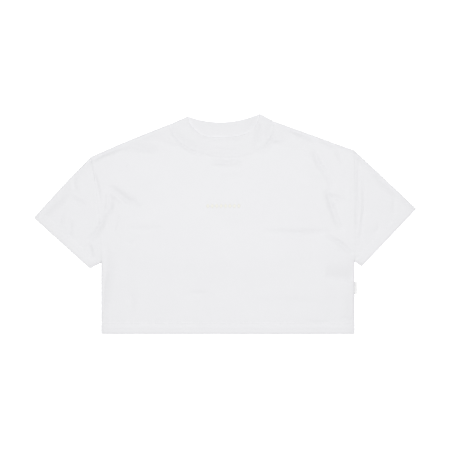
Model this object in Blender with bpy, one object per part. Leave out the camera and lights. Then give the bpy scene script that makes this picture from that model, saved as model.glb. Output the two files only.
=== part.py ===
"""Cropped, boxy short-sleeved T-shirt in heavy white cotton jersey, lying on its back.

The front panel lies over the back panel. The two are joined along the side and shoulder
edges, each sleeve is a flattened tube sewn into a straight dropped armhole, and a wide
doubled rib band stands round the neck. x runs across the body, y from the hem to the
neck, and z up out of the cloth, in metres. The underside lies flat at z = 0.
"""

import math

import bmesh
import bpy
import numpy as np

# Cloth and seams.
CLOTH = 0.0010  # one layer of heavy jersey
RIB = 0.0024  # the rib band, folded double
LABEL = 0.0010  # woven tape, folded double
SEAM_GAP = 0.0003  # between two pieces that are sewn together
HEM_DEPTH = 0.022  # hem turned up inside, at the waist and at both cuffs
HEM_STEP = 0.003  # over which a hem thins down to one layer

# Corners of the shirt as it lies, each as (left, right) seen from the front. The origin is
# the middle of the whole outline, and the upper body lies a little askew on the hem.
HEM_CORNER = ((-0.2645, -0.2353), (0.2755, -0.2353))
ARMPIT = ((-0.2645, -0.0809), (0.2755, -0.0791))
SHOULDER_POINT = ((-0.2876, 0.1436), (0.2747, 0.1575))
NECK_POINT = ((-0.1194, 0.2137), (0.1033, 0.2195))
COLLAR_TIP = ((-0.0798, 0.2293), (0.0734, 0.2353))
CUFF_TOP = ((-0.4069, 0.0134), (0.4069, 0.0327))
CUFF_BOTTOM = ((-0.2897, -0.0941), (0.2919, -0.0899))
ARMHOLE_BOW = (0.0062, 0.0010)  # how far each armhole seam bows to the shirt's right

# How far each neck curve drops below the straight line between its two ends.
COLLAR_FRONT_DROP = 0.0495
COLLAR_BACK_DROP = 0.0160
NECK_SEAM_FRONT_DROP = 0.0750
NECK_SEAM_BACK_DROP = 0.0425
NECK_SEAM_FRONT_SKEW = 0.0180  # how far its lowest point lies to the right of the middle

# Heights of the front layer's outer face, and how the layers close at their edges.
FRONT_LEVEL = 0.0047  # over most of the shirt
COLLAR_LEVEL = 0.0054  # over the rib band
EDGE_ROLL = 0.014  # width over which the front rolls down to a closed edge
SLEEVE_FOLD = 0.0002  # inner radius of a sleeve's folded edges
COLLAR_FOLD = 0.0003  # inner radius of the rib band's folded edges

# The blank tape label caught in the right side seam.
LABEL_TOP = -0.1241
LABEL_LENGTH = 0.0264
LABEL_OUT = 0.0045  # how far it sticks out of the seam
LABEL_IN = 0.0070  # how far it reaches in between the panels
LABEL_LIFT = LABEL + SEAM_GAP + 0.0002  # that the front's edge climbs over it
LABEL_RAMP = 0.016  # length of side seam over which it climbs

# The broadest folds: soft troughs (height below 0) and ridges in the front layer, each
# along a bowed line. width is where the height has fallen to a third.
FOLDS = (
    # start              bowed towards       end                  width   height
    ((0.1665, 0.1608), (0.2150, 0.1000), (0.2460, -0.0130), 0.0120, -0.0016),
    ((0.2200, -0.0250), (0.2400, -0.0380), (0.2610, -0.0580), 0.0110, -0.0010),
    ((-0.2383, 0.0730), (-0.2520, 0.0300), (-0.2897, -0.0556), 0.0120, -0.0014),
    ((-0.2854, 0.1351), (-0.2254, 0.1629), (-0.1483, 0.1586), 0.0110, -0.0010),
)
FOLD_STEPS = 8  # straight pieces that stand for a fold's bowed line

WHITE_JERSEY = ("white_jersey", (0.85, 0.85, 0.865), 0.88)
WHITE_RIB = ("white_rib", (0.84, 0.84, 0.855), 0.90)
LABEL_TAPE = ("label_tape", (0.78, 0.78, 0.775), 0.70)

LEFT, RIGHT = 0, 1
SIDES = (LEFT, RIGHT)


def clear_scene():
    for obj in list(bpy.data.objects):
        bpy.data.objects.remove(obj)


def material(finish):
    """The material of a finish, made once: (name, colour, roughness)."""
    name, colour, roughness = finish
    made = bpy.data.materials.get(name)
    if made is None:
        made = bpy.data.materials.new(name)
        made.use_nodes = True
        shader = made.node_tree.nodes["Principled BSDF"]
        shader.inputs["Base Color"].default_value = (*colour, 1.0)
        shader.inputs["Roughness"].default_value = roughness
        shader.inputs["Metallic"].default_value = 0.0
    return made


def between(a, b, share):
    """Points from a to b, at each share of the way."""
    share = np.asarray(share, float)[..., None]
    return np.asarray(a) * (1 - share) + np.asarray(b) * share


def ramp(value, start, end):
    """0 before start and 1 after end, straight in between."""
    return np.clip((np.asarray(value) - start) / (end - start), 0, 1)


def unit(vector):
    return vector / np.linalg.norm(vector)


def below_chord(ends, along, drop):
    """Points at a distance along a chord from its middle, and a drop below it."""
    left, right = np.array(ends)
    ahead = unit(right - left)
    down = np.array((ahead[1], -ahead[0]))
    return (left + right) / 2 + along[..., None] * ahead + drop[..., None] * down


def arc(ends, drop, t):
    """Circular arc that hangs by drop below its ends, at t from 0 on the left to 1."""
    half = math.dist(*ends) / 2
    radius = (half**2 + drop**2) / (2 * drop)
    angle = math.asin(half / radius) * (2 * np.asarray(t, float) - 1)
    return below_chord(ends, radius * np.sin(angle), drop - radius * (1 - np.cos(angle)))


def neck_seam(seam, t, clearance=0.0):
    """Neck seam as half an ellipse, grown all round by a clearance.

    It hangs by the seam's drop below the neck points, with its middle skewed sideways.
    """
    drop, skew = seam
    half = math.dist(*NECK_POINT) / 2 + clearance
    angle = math.pi * np.asarray(t, float)
    along = -half * np.cos(angle) + skew * np.sin(angle) ** 2
    return below_chord(NECK_POINT, along, (drop + clearance) * np.sin(angle))


def from_line(points, a, b):
    """Distance of each point from the straight line a to b, and how far along it is."""
    a, step = np.array(a), np.array(b) - np.array(a)
    along = np.clip(((points - a) @ step) / (step @ step), 0, 1)
    return np.linalg.norm(points - a - along[..., None] * step, axis=-1), along


def fold_height(points):
    """Height that the folds add to the front layer."""
    added = np.zeros(points.shape[:-1])
    t = np.linspace(0, 1, FOLD_STEPS + 1)
    for start, bow, end, width, height in FOLDS:
        line = between(between(start, bow, t), between(bow, end, t), t)
        runs = [from_line(points, a, b) for a, b in zip(line, line[1:])]
        away = np.array([run[0] for run in runs])
        nearest = away.argmin(axis=0)
        along = np.take_along_axis(np.array([run[1] for run in runs]), nearest[None], 0)[0]
        fade = np.sin(math.pi * (nearest + along) / FOLD_STEPS)
        added += height * fade * np.exp(-((away.min(axis=0) / width) ** 2))
    return added


def edge_height(points, doubled):
    """Height of the front layer's outer face where it meets the back layer."""
    top, low = LABEL_TOP + LABEL_RAMP, LABEL_TOP - LABEL_LENGTH - LABEL_RAMP
    over_label = ramp(points[..., 1], low, low + LABEL_RAMP / 2)
    over_label *= ramp(points[..., 1], top, top - LABEL_RAMP / 2)
    over_label *= ramp(points[..., 0], 0.20, 0.25)
    return 2 * CLOTH * (1 + doubled) + SEAM_GAP + LABEL_LIFT * over_label


CLOSED_EDGES = [
    (start[s], end[s])
    for s in SIDES
    for start, end in (
        (HEM_CORNER, ARMPIT),
        (ARMPIT, CUFF_BOTTOM),
        (CUFF_TOP, SHOULDER_POINT),
        (SHOULDER_POINT, NECK_POINT),
    )
]


def front_height(points, doubled):
    """Height of the front layer's outer face. doubled is 1 in a hem and 0 outside."""
    away = np.min([from_line(points, a, b)[0] for a, b in CLOSED_EDGES], axis=0)
    edge = edge_height(points, doubled)
    middle = np.maximum(FRONT_LEVEL + fold_height(points) * (1 - 0.6 * doubled), edge)
    return edge + (middle - edge) * np.sin(math.pi / 2 * ramp(away, 0, EDGE_ROLL))


def finish_solid(name, bm, finish):
    """Turns a closed bmesh into a named, smooth-shaded object with its material."""
    bmesh.ops.recalc_face_normals(bm, faces=bm.faces)
    mesh = bpy.data.meshes.new(name)
    bm.to_mesh(mesh)
    bm.free()
    mesh.materials.append(material(finish))
    mesh.shade_smooth()
    mesh.set_sharp_from_angle(angle=math.radians(40))
    obj = bpy.data.objects.new(name, mesh)
    bpy.context.scene.collection.objects.link(obj)
    return obj


def walled(name, outer, inner, finish, closed_loop=False):
    """A cloth wall between an outer and an inner face, each an array of points.

    The points go by row and column. In a closed loop the last column comes back to the
    first, as round a tube.
    """
    row_count, column_count = outer.shape[:2]
    bm = bmesh.new()
    place_in_row = bm.verts.layers.int.new("place in row")
    row = bm.verts.layers.int.new("row")
    bmesh.ops.create_grid(
        bm, x_segments=column_count - 1, y_segments=row_count - 1, size=0.5
    )
    for vert in bm.verts:
        vert[place_in_row] = round((vert.co.x + 0.5) * (column_count - 1))
        vert[row] = round((vert.co.y + 0.5) * (row_count - 1))
        vert.co = outer[vert[row], vert[place_in_row]]
    if closed_loop:
        bmesh.ops.remove_doubles(bm, verts=bm.verts, dist=1e-6)
    grown = bmesh.ops.extrude_face_region(bm, geom=bm.faces[:])["geom"]
    for vert in grown:
        if isinstance(vert, bmesh.types.BMVert):
            vert.co = inner[vert[row], vert[place_in_row]]
    return finish_solid(name, bm, finish)


def at_height(plan, height):
    return np.concatenate([plan, np.broadcast_to(height, plan.shape[:2])[..., None]], axis=2)


def neck_shares(count, first):
    """Shares along a neck curve at which both the rib band and its panel have points."""
    return np.array([first, *np.linspace(0, 1, count + 1)[1:-1], 1 - first])


NECK_FRONT = neck_shares(20, 0.0115)
NECK_BACK = neck_shares(12, 0.0203)
FRONT_SEAM = (NECK_SEAM_FRONT_DROP, NECK_SEAM_FRONT_SKEW)
BACK_SEAM = (NECK_SEAM_BACK_DROP, 0.0)


# Body: two panels over each other, with the neck cut lower in front.
ARMPIT_ROW = 0.40  # share of a panel's height that lies below the armpits
NECK_FROM, NECK_TO = 0.25, 0.71  # shares of its width between which the neck is cut


def armhole(side, share):
    """Armhole seam from the armpit at 0 up to the shoulder point at 1."""
    seam = between(ARMPIT[side], SHOULDER_POINT[side], share)
    seam[..., 0] += ARMHOLE_BOW[side] * 4 * share * (1 - share)
    return seam


def panel_plan(seam, shoulder, neck, v):
    """A panel from above, by shares along its shoulder and neck edges and its height v."""
    neck = np.array([0, *neck, 1])
    u = [shoulder * NECK_FROM, NECK_FROM + neck * (NECK_TO - NECK_FROM)]
    u = np.concatenate([*u, 1 - u[0][::-1]])
    above_armpit = ramp(v, ARMPIT_ROW, 1)
    sides = []
    for s, inward in ((LEFT, SEAM_GAP / 2), (RIGHT, -SEAM_GAP / 2)):
        edge = between(HEM_CORNER[s], ARMPIT[s], ramp(v, 0, ARMPIT_ROW))
        edge[v > ARMPIT_ROW] = armhole(s, above_armpit)[v > ARMPIT_ROW]
        edge[v >= ARMPIT_ROW, 0] += inward
        sides.append(edge)
    curve = neck_seam(seam, neck, clearance=SEAM_GAP)
    top = np.concatenate([
        between(sides[LEFT][-1], curve[0], shoulder),
        curve,
        between(curve[-1], sides[RIGHT][-1], 1 - shoulder[::-1]),
    ])
    straight_top = between(sides[LEFT][-1], sides[RIGHT][-1], u)
    across = u[None, :, None]
    plan = sides[LEFT][:, None] * (1 - across) + sides[RIGHT][:, None] * across
    return plan + (top - straight_top)[None] * above_armpit[:, None, None]


def panel_rows(below, above, near_shoulder):
    """Rows up a panel: the hem's two, then counts below and above the armpits."""
    side = ARMPIT[LEFT][1] - HEM_CORNER[LEFT][1]
    hem = np.array([HEM_DEPTH, HEM_DEPTH + HEM_STEP]) / side * ARMPIT_ROW
    below = np.linspace(hem[1], ARMPIT_ROW, below + 1)[1:]
    above = np.linspace(ARMPIT_ROW, near_shoulder[0], above + 1)[1:]
    doubled = np.array([1, 1] + [0] * (1 + len(below) + len(above) + len(near_shoulder)))
    return np.array([0, *hem, *below, *above, *near_shoulder[1:], 1]), doubled[:, None]


def build_front():
    v, doubled = panel_rows(7, 13, (0.955, 0.975, 0.990))
    shoulder = np.array([0, 0.027, 0.060, 0.103, *np.linspace(0.103, 1, 8)[1:-1]])
    plan = panel_plan(FRONT_SEAM, shoulder, NECK_FRONT, v)
    outer = front_height(plan, doubled)
    inner = outer - CLOTH * (1 + doubled)
    walled("front_panel", at_height(plan, outer), at_height(plan, inner), WHITE_JERSEY)


def build_back():
    v, doubled = panel_rows(3, 5, (0.975,))
    shoulder = np.array([0, 0.05, 0.35, 0.70])
    plan = panel_plan(BACK_SEAM, shoulder, NECK_BACK, v)
    inner = CLOTH * (1 + doubled)
    walled("back_panel", at_height(plan, 0.0), at_height(plan, inner), WHITE_JERSEY)


# Folded edges: the sleeves and the rib band are loops pressed flat.
NOSE_ANGLES = np.radians((-45, 0, 45))  # points round a folded edge


def fold_round(edge, inward, outer_radius, inner_radius, angles):
    """Outer and inner points round a folded edge that rests on z = 0."""
    for angle in angles:
        yield [
            (
                *(edge + inward * (outer_radius - radius * math.cos(angle))),
                outer_radius + radius * math.sin(angle),
            )
            for radius in (outer_radius, inner_radius)
        ]


def ring(front, back, folds, fold_radii):
    """One ring round a flattened loop, as its outer and its inner points.

    front and back are lists of (outer, inner) points from the first fold to the second,
    and folds are the two (edge, inward) pairs.
    """
    (first, first_in), (second, second_in) = folds
    points = list(front)
    points += fold_round(second, second_in, *fold_radii, NOSE_ANGLES[::-1])
    points += back[::-1]
    points += fold_round(first, first_in, *fold_radii, NOSE_ANGLES)
    points.append(points[0])
    return np.array(points).swapaxes(0, 1)


# Sleeves: flattened tubes, folded along the top and closed along the underarm.
SLEEVE_FRONT = np.array([0, 0.03, 0.07, *np.linspace(0.07, 0.93, 9)[1:-1], 0.93, 0.97, 1])
SLEEVE_BACK = np.linspace(0, 1, 6)
LONGEST_HEM = (0.80, 0.92)  # shares of a short underarm that the hem and its step may take


def build_sleeve(side):
    """One sleeve, as rings of points from the cuff in to the armhole."""
    armhole_in = np.array((-1 if side == LEFT else 1, 0)) * SEAM_GAP / 2
    inner_ends = np.array((SHOULDER_POINT[side], ARMPIT[side])) + armhole_in
    outer_ends = np.array((CUFF_TOP[side], CUFF_BOTTOM[side]))
    cuff = unit(outer_ends[1] - outer_ends[0])
    reach = np.abs((inner_ends - outer_ends) @ np.array((-cuff[1], cuff[0])))
    hem = np.minimum(HEM_DEPTH / reach, LONGEST_HEM[0])
    single = np.minimum((HEM_DEPTH + HEM_STEP) / reach, LONGEST_HEM[1])
    stages = [(share * hem, 1) for share in (0, 0.5, 1)]
    stages += [(single + (1 - single) * share, 0) for share in (0, 0.25, 0.5, 0.75, 1)]
    rings = []
    for inward, doubled in stages:
        start, end = outer_ends + (inner_ends - outer_ends) * inward[:, None]
        across = unit(end - start)
        wall = CLOTH * (1 + doubled)
        nose = wall + SLEEVE_FOLD
        layers = []
        for shares in (SLEEVE_FRONT, SLEEVE_BACK):
            flat = between(start + across * nose, end - across * nose, shares)
            bow = ARMHOLE_BOW[side] * 4 * shares * (1 - shares)
            flat[:, 0] += bow * np.clip(inward.mean() * 2 - 1, 0, 1)
            layers.append(flat)
        front, back = layers
        top = np.maximum(front_height(front, doubled), 2 * nose)
        rings.append(ring(
            [((*p, z), (*p, z - wall)) for p, z in zip(front, top)],
            [((*p, 0.0), (*p, wall)) for p in back],
            [(start, across), (end, -across)],
            (nose, SLEEVE_FOLD),
        ))
    outer, inner = np.array(rings).swapaxes(0, 1)
    name = ("sleeve_left", "sleeve_right")[side]
    walled(name, outer, inner, WHITE_JERSEY, closed_loop=True)


# Collar: a doubled rib band, one flattened loop round the neck.
BAND_ROWS = (0, 0.12, 0.50, 0.88, 1)  # shares from the free edge to the neck seam
BAND_SWELL = 0.0002  # that the band stands up along its middle


def build_collar():
    nose = RIB + COLLAR_FOLD
    rings = []
    for row in BAND_ROWS:
        front, back = [
            between(arc(COLLAR_TIP, free_drop, shares), neck_seam(seam, shares), row)
            for free_drop, seam, shares in (
                (COLLAR_FRONT_DROP, FRONT_SEAM, NECK_FRONT),
                (COLLAR_BACK_DROP, BACK_SEAM, NECK_BACK),
            )
        ]
        folds = []
        for side, end in ((LEFT, 0), (RIGHT, -1)):
            edge = between(COLLAR_TIP[side], NECK_POINT[side], row)
            folds.append((edge, unit(front[end] + back[end] - 2 * edge)))
        top = COLLAR_LEVEL + BAND_SWELL * math.sin(math.pi * row)
        rings.append(ring(
            [((*p, top), (*p, top - RIB)) for p in front],
            [((*p, 0.0), (*p, RIB)) for p in back],
            folds,
            (nose, COLLAR_FOLD),
        ))
    outer, inner = np.array(rings).swapaxes(0, 1)
    walled("collar_band", outer, inner, WHITE_RIB, closed_loop=True)


# Label: a short folded tape, caught between the panels in the right side seam.
def build_label():
    seam = HEM_CORNER[RIGHT][0]
    low = np.array((seam - LABEL_IN, LABEL_TOP - LABEL_LENGTH, CLOTH + SEAM_GAP))
    high = np.array((seam + LABEL_OUT, LABEL_TOP, CLOTH + SEAM_GAP + LABEL))
    bm = bmesh.new()
    bmesh.ops.create_cube(bm, size=1.0)
    bmesh.ops.scale(bm, vec=high - low, verts=bm.verts)
    bmesh.ops.translate(bm, vec=(low + high) / 2, verts=bm.verts)
    finish_solid("side_label", bm, LABEL_TAPE)


def main():
    clear_scene()
    build_front()
    build_back()
    build_sleeve(LEFT)
    build_sleeve(RIGHT)
    build_collar()
    build_label()


main()
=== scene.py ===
"""Cropped, boxy T-shirt in heavy white cotton jersey, laid out flat on its back.

x runs across the body, y from the hem to the neck, and z up out of the cloth, in metres.
"""

import math

import bmesh
import bpy
import numpy as np
from mathutils import Matrix, Vector, noise
from mathutils.bvhtree import BVHTree


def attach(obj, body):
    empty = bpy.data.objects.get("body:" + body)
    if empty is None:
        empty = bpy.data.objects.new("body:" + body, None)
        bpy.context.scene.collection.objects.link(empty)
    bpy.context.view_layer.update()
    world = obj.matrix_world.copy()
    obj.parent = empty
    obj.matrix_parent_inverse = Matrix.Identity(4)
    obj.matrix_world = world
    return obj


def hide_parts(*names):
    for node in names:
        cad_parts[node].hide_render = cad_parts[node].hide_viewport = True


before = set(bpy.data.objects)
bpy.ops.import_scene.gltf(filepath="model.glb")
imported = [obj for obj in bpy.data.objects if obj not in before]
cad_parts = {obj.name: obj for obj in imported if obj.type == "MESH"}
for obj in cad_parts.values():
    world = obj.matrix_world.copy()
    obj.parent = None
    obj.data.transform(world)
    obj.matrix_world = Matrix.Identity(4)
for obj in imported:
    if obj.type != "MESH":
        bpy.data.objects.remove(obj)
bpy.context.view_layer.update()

# ------------------------------------------------------------------------ front panel
# One layer of heavy white jersey, cut wide and short, with a deep scoop for the neckband.
# It lies on the back panel, closed to it along the sides and shoulders, and its lower edge
# is turned up inside and stitched down.

MM = 0.001
CLOTH = 1.0 * MM
SEAM_GAP = 0.02 * MM  # hair-line left where two pieces meet at a seam
LAYER_GAP = 0.1 * MM  # least that is left between two layers
LEFT, RIGHT = 0, 1

# Corners of the shirt, each as (left, right) seen from the front.
HEM_CORNER = ((-0.2650, -0.2353), (0.2766, -0.2353))
ARMPIT = ((-0.2650, -0.0835), (0.2766, -0.0810))
SHOULDER_POINT = ((-0.2876, 0.1430), (0.2752, 0.1575))
NECK_POINT = ((-0.1194, 0.2126), (0.1033, 0.2197))
CUFF_TOP = ((-0.4088, 0.0128), (0.4082, 0.0322))
CUFF_BOTTOM = ((-0.2888, -0.0956), (0.2914, -0.0910))
ARMHOLE_BOW = (0.0062, 0.0010)  # how far each armhole seam bows to the shirt's right
SHOULDER_BOW = (0.0017, 0.0)  # how far each shoulder line bows up
NECK_FRONT = (0.0750, 0.0180)  # the neck seam's drop below the neck points, and its skew

FRONT_LEVEL = 6.6 * MM  # height of the front's face where it lies undisturbed
EDGE_ROLL = 20.0 * MM  # width over which it rolls down towards a closed edge
EDGE_BEND = (4.4 * MM, 1.3 * MM)  # height at which it bends down there, and how tightly
EDGE_CALM = 7.0 * MM  # width there over which its folds fade out
SLACKNESS = ((85 * MM, 0.45 * MM, 1.0), (24 * MM, 0.12 * MM, 2.0))  # size, height and seed
CLOSE_IN = np.array((0, 0.05, 0.3, 0.8, 1.6, 2.6, 4.0, 5.6, 7.4)) * MM  # columns near an edge
PLAIN_END = CLOSE_IN[:1]
FINE = 2.4 * MM  # spacing of the columns and rows in the open cloth

# Folds in the front, as soft troughs (height below 0) and ridges. Each runs along a line of
# points, and before and after are its widths on the left and right of that way, all in mm.
FRONT_FOLDS = (
    # line                                                       before after height
    # the long fold from the right shoulder down to the armhole
    (((188, 159), (194, 143), (200, 129), (208, 119), (216, 106)), 7, 10, -3.0),
    (((210, 112), (219, 98), (225, 84), (223, 70)), 8, 10, -1.8),
    (((215, 76), (221, 58), (225, 44), (231, 28), (237, 11), (243, -2), (250, -14)), 8, 10, -3.5),
    (((202, 140), (208, 130), (220, 116)), 8, 10, 0.4),
    (((202, 66), (206, 46), (212, 28)), 8, 6, 0.3),
    (((216, 62), (226, 57), (238, 55), (252, 46)), 9, 7, -2.3),
    # pulls below the right shoulder
    (((136, 177), (150, 166), (174, 163)), 6, 7, -0.8),
    (((166, 158), (176, 147), (188, 143)), 5, 6, -0.8),
    (((236, 156), (244, 142), (252, 128)), 8, 8, -1.5),
    (((136, 201), (158, 194), (176, 186), (192, 175)), 10, 10, -2.4),
    (((200, 180), (222, 170), (240, 162)), 7, 8, -1.6),
    # where the fold runs out under the right arm, and the cloth that bunches below it
    (((216, -24), (234, -36), (248, -44), (260, -55), (274, -64)), 7, 7, -2.8),
    (((213, -108), (246, -112), (286, -116)), 26, 12, -2.8),
    (((262, -80), (264, -108), (262, -138)), 7, 8, -0.5),
    (((258, -150), (264, -176), (262, -200)), 8, 9, -0.8),
    (((246, -198), (262, -203), (278, -207)), 6, 6, -1.1),
    (((172, -208), (200, -210), (226, -210)), 6, 6, -0.8),
    # the folds that gather under the left arm
    (((-252, 77), (-240, 72), (-228, 64), (-217, 55), (-205, 49), (-188, 51)), 12, 7, -3.8),
    (((-208, 46), (-194, 41), (-180, 36)), 8, 5, -1.2),
    (((-242, 57), (-233, 48), (-224, 39)), 8, 7, -1.5),
    (((-252, 98), (-228, 90), (-200, 78)), 9, 9, 0.3),
    (((-246, 68), (-246, 50), (-247, 34), (-253, 20)), 11, 5, -3.2),
    (((-257, 66), (-256, 48), (-257, 30)), 6, 4, -1.8),
    (((-262, 44), (-258, 26), (-262, 8), (-268, -6), (-277, -20), (-288, -31), (-299, -37)),
     10, 7, -2.8),
    (((-252, 14), (-242, 18), (-228, 26)), 5, 6, 0.4),
    (((-263, 62), (-266, 36), (-268, 6)), 8, 9, -0.9),
    (((-258, 0), (-252, -12), (-250, -24)), 6, 7, 0.4),
    (((-226, 18), (-231, 6), (-236, -6), (-236, -20)), 5, 6, -1.4),
    (((-293, -42), (-287, -56), (-285, -74)), 7, 15, -1.8),
    (((-254, -42), (-252, -60), (-253, -78)), 8, 8, -0.5),
    (((-210, -34), (-204, -42), (-196, -34)), 5, 5, -0.6),
    # the slack beside the left side seam
    (((-250, -58), (-251, -92), (-255, -120), (-260, -146), (-263, -192)), 18, 9, -2.1),
    # the pull along the left shoulder
    (((-300, 128), (-277, 139), (-262, 147), (-246, 154), (-226, 160), (-202, 165)), 11, 7, -3.0),
    (((-216, 165), (-196, 164), (-180, 161), (-160, 159), (-142, 161)), 14, 10, -3.0),
    (((-200, 177), (-180, 175), (-160, 176)), 5, 6, 0.4),
    (((-222, 146), (-214, 141), (-206, 138)), 5, 6, 0.3),
    (((-216, 112), (-212, 120), (-208, 128)), 6, 6, -0.7),
    (((-281, 110), (-275, 90), (-271, 72), (-267, 46)), 5, 6, -1.8),
    # short pulls off the neck seam
    (((-144, 186), (-124, 178), (-108, 172), (-90, 165)), 11, 8, -1.7),
    (((90, 186), (105, 180), (124, 178)), 8, 9, -1.9),
    (((121, 217), (123, 194), (115, 171)), 24, 22, -2.2),
    (((126, 204), (148, 198), (168, 190)), 8, 8, -0.8),
    (((-186, 180), (-150, 189), (-108, 194)), 13, 14, -2.0),
    (((-34, 131), (2, 129), (36, 131)), 9, 7, -2.7),
    (((-14, 104), (8, 101), (36, 104)), 9, 9, -0.9),
    # long shallow rolls across the chest, and a slack lower body
    (((84, -16), (150, -19), (190, -18), (230, -19)), 9, 8, -1.9),
    (((-214, -9), (-176, -11), (-132, -8)), 8, 8, -1.0),
    (((-264, -60), (-200, -82), (-130, -96), (0, -104), (130, -92), (275, -60)), 30, 50, -0.5),
    (((-100, -152), (-60, -149), (-20, -152)), 10, 12, -0.4),
    (((60, -164), (140, -163), (220, -171)), 12, 18, -0.5),
    (((-208, -140), (-198, -170), (-206, -206)), 11, 11, -1.0),
    (((-78, -146), (-60, -148), (-42, -147)), 5, 5, -0.6),
    # the left sleeve: dents along its folded top and at the cuff
    (((-396, 16), (-382, 24), (-366, 40), (-350, 52), (-332, 76)), 12, 12, -2.2),
    (((-332, 58), (-316, 48), (-296, 42)), 9, 10, -1.5),
    (((-344, 22), (-352, 6), (-350, -8)), 8, 9, -1.0),
    (((-328, 8), (-330, -10), (-334, -26)), 8, 9, -1.2),
    (((-354, -16), (-340, -22), (-324, -26)), 6, 6, -0.8),
    (((-321, 100), (-322, 84), (-318, 70)), 6, 7, -1.2),
    (((-308, 108), (-310, 80), (-306, 60)), 6, 7, 0.3),
    # the right sleeve: stripes beside the armhole, dents along its folded top
    (((284, 136), (284, 110), (284, 80), (284, 28)), 5, 6, -1.3),
    (((283, 40), (282, 10), (283, -14)), 5, 6, -1.0),
    (((296, 96), (296, 60), (296, 30), (292, 4), (288, -38)), 6, 6, -1.4),
    (((267, 120), (265, 60), (264, 0)), 5, 6, 0.3),
    (((276, 146), (286, 140), (296, 130)), 7, 7, -1.1),
    (((320, 106), (336, 85), (350, 74), (374, 57)), 15, 12, -1.4),
    (((358, 62), (360, 44), (358, 18)), 8, 9, -0.8),
    (((324, 6), (326, -10), (310, -22)), 6, 6, -0.8),
)

# The neck seam sinks at both sides, where the stiffer band pulls on the panel.
NECK_FOLDS = (
    # line                                                       before after height
    (((-120, 216), (-114, 199), (-106, 185), (-96, 173), (-83, 163), (-66, 154), (-48, 148)),
     8, 7, -2.6),
    (((104, 204), (100, 190), (95, 177), (85, 165), (66, 156)), 14, 9, -2.5),
    (((-54, 148), (-20, 142), (6, 141), (44, 148)), 6, 5, -0.6),
)

CREASE_ROUNDING = (0.01, 0.015)  # of a fold's bottom, and of where its flanks run out
FOLD_REACH = 2.0  # widths from a fold's line beyond which it adds nothing
FOLD_FADE = 0.6  # how gently a fold fades at its ends, from 0
FULL_SHADE_DEPTH = 4.0 * MM  # depth of a trough at which its painted shade is darkest


def between(a, b, share):
    """Points from a to b, at each share of the way."""
    share = np.asarray(share, float)[..., None]
    return np.asarray(a) * (1 - share) + np.asarray(b) * share


def ramp(value, start, end):
    """0 before start and 1 after end, with an even rise between."""
    return np.clip((np.asarray(value) - start) / (end - start), 0, 1)


def soft(value, start, end):
    """0 before start and 1 after end, with a smooth rise between."""
    share = ramp(value, start, end)
    return share * share * (3 - 2 * share)


def bow(share):
    """How far a bowed line stands off its chord, from 0 at its ends to 1 in its middle."""
    return 4 * share * (1 - share)


def hill(distance, width):
    """A smooth round hill of height 1, down to a third at its width."""
    return np.exp(-((distance / width) ** 2))


def ditch(distance, size):
    """A smooth ditch of a depth and a width, as heights below 0."""
    depth, width = size
    return -depth * hill(distance, width)


def crease(distance, width):
    """Section of a fold: straight flanks from a height of 1 down to 0 at its width."""
    bottom, end = CREASE_ROUNDING
    flank = 1 - np.sqrt((distance / width) ** 2 + bottom)
    return (flank + np.sqrt(flank**2 + end)) / 2


def below_chord(ends, along, drop):
    """Points at a distance along a chord from its middle, and a drop below it."""
    left, right = np.array(ends)
    ahead = (right - left) / math.dist(*ends)
    down = np.array((ahead[1], -ahead[0]))
    return (left + right) / 2 + along[..., None] * ahead + drop[..., None] * down


def neck_seam(seam, t, clearance=0.0):
    """Neck seam from the left neck point at 0: half an ellipse, skewed in the middle."""
    drop, skew = seam
    half = math.dist(*NECK_POINT) / 2 + clearance
    angle = math.pi * np.asarray(t, float)
    along = -half * np.cos(angle) + skew * np.sin(angle) ** 2
    return below_chord(NECK_POINT, along, (drop + clearance) * np.sin(angle))


def armhole(side, share):
    """Armhole seam from the armpit at 0 up to the shoulder point at 1."""
    seam = between(ARMPIT[side], SHOULDER_POINT[side], share)
    seam[..., 0] += ARMHOLE_BOW[side] * bow(share)
    return seam


def shoulder(side, share):
    """Shoulder line from the shoulder point at 0 in to the neck point at 1."""
    line = between(SHOULDER_POINT[side], NECK_POINT[side], share)
    line[..., 1] += SHOULDER_BOW[side] * bow(share)
    return line


def along_line(points, line):
    """Signed distance of points from a line of points, and the share of its length."""
    best = np.full(points.shape[:-1], np.inf)
    signed, share = best.copy(), np.zeros_like(best)
    lengths = [math.dist(a, b) for a, b in zip(line, line[1:])]
    done = 0.0
    for a, b, length in zip(line, line[1:], lengths):
        a, step = np.array(a), (np.array(b) - np.array(a)) / length
        offset = points - a
        along = np.clip(offset @ step, 0, length)
        away = np.linalg.norm(offset - along[..., None] * step, axis=-1)
        nearer = away < best
        side = np.sign(offset[..., 0] * step[1] - offset[..., 1] * step[0])
        best = np.where(nearer, away, best)
        signed = np.where(nearer, away * side, signed)
        share = np.where(nearer, (done + along) / sum(lengths), share)
        done += length
    return signed, share


def smooth_line(points, steps=7):
    """A line through the points, rounded between them."""
    points = [np.array(p, float) for p in (points[0], *points, points[-1])]
    line = []
    for a, b, c, d in zip(points, points[1:], points[2:], points[3:]):
        for t in np.arange(steps) / steps:
            line.append(0.5 * (2 * b + (c - a) * t + (2 * a - 5 * b + 4 * c - d) * t**2
                               + (3 * b - a - 3 * c + d) * t**3))
    return [*line, points[-2]]


def fold_relief(points, folds):
    """Height that a table of folds adds to the cloth."""
    added = np.zeros(points.shape[:-1])
    for line, before, after, height in folds:
        line = np.array(smooth_line(line)) * MM
        reach = FOLD_REACH * max(before, after) * MM
        near = np.all((points > line.min(axis=0) - reach) & (points < line.max(axis=0) + reach), -1)
        away, share = along_line(points[near], line)
        width = np.where(away < 0, before, after) * MM
        fade = np.sin(math.pi * share) ** FOLD_FADE
        added[near] += height * MM * fade * crease(away, width)
    return added


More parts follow.
